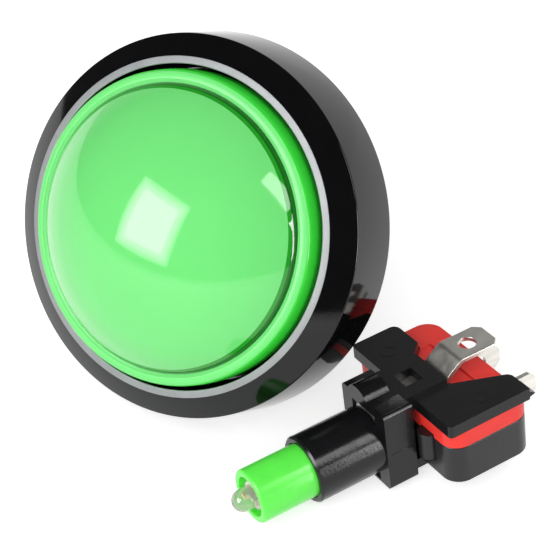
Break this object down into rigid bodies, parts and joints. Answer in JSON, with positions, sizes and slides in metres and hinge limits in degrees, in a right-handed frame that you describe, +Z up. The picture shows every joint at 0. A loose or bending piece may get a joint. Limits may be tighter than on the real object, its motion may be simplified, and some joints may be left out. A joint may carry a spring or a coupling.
{
  "type": "illuminated dome push button",
  "caption": "Illuminated arcade push button: black bezel with a green dome on a sprung plunger, lying beside its plug-in switch and lamp unit.",
  "frame": {"origin": "on the table under the middle of the whole, head and unit together", "axes": "+X from the head towards the switch unit, +Y from the dome towards the barrel's end, +Z up from the table"},
  "size_m": [0.0924, 0.0734, 0.0608],
  "materials": {
    "black_gloss": "glossy black moulding",
    "black_satin": "satin black moulding",
    "lens_green": "clear green, polished",
    "diffuser_pale": "milky",
    "white_plastic": "natural white moulding",
    "spring_steel": "drawn wire",
    "lamp_green": "translucent green",
    "lamp_clear": "clear",
    "terminal_metal": "plated strip, satin",
    "switch_red": "satin red moulding",
    "contact_brass": "rolled strip"
  },
  "bodies": {
    "base": {"housing": "black_gloss", "return_spring": "spring_steel", "lamp_holder": "black_gloss", "lamp_capsule": "lamp_green", "lamp_led": "lamp_clear", "lamp_base": "lamp_green", "lamp_terminal_upper": "terminal_metal", "lamp_terminal_lower": "terminal_metal", "switch_base": "black_satin", "switch_cover": "switch_red", "com_terminal": "terminal_metal", "no_terminal": "terminal_metal", "nc_terminal": "terminal_metal"},
    "press": {"lens": "lens_green", "diffuser": "diffuser_pale", "plunger": "white_plastic"},
    "nut": {"panel_nut": "black_satin"},
    "button": {"switch_button": "black_satin"},
    "blade": {"contact_blade": "contact_brass"}
  },
  "joints": [
    {"name": "dome_press", "type": "slide", "parent": "base", "child": "press", "axis": [0, 0.8721, -0.4893], "range_m": [0, 0.003], "stiffness_N_per_m": 300, "springref_m": -0.003, "deforming": ["return_spring"]},
    {"name": "nut_travel", "type": "slide", "parent": "base", "child": "nut", "axis": [0, 0.8721, -0.4893], "range_m": [-0.0075, 0.012]},
    {"name": "switch_press", "type": "slide", "parent": "base", "child": "button", "axis": [0.433, 0.8996, 0.057], "range_m": [0, 0.0013], "stiffness_N_per_m": 250, "springref_m": -0.002},
    {"name": "blade_swing", "type": "hinge", "parent": "base", "child": "blade", "pos_m": [0.02149, -0.00002, 0.00729], "axis": [-0.1344, 0.0019, 0.9909], "range_deg": [0, 5.13]}
  ],
  "couplings": [
    {"joint": "blade_swing", "follows": "switch_press", "rad_per_m": 67.568}
  ]
}
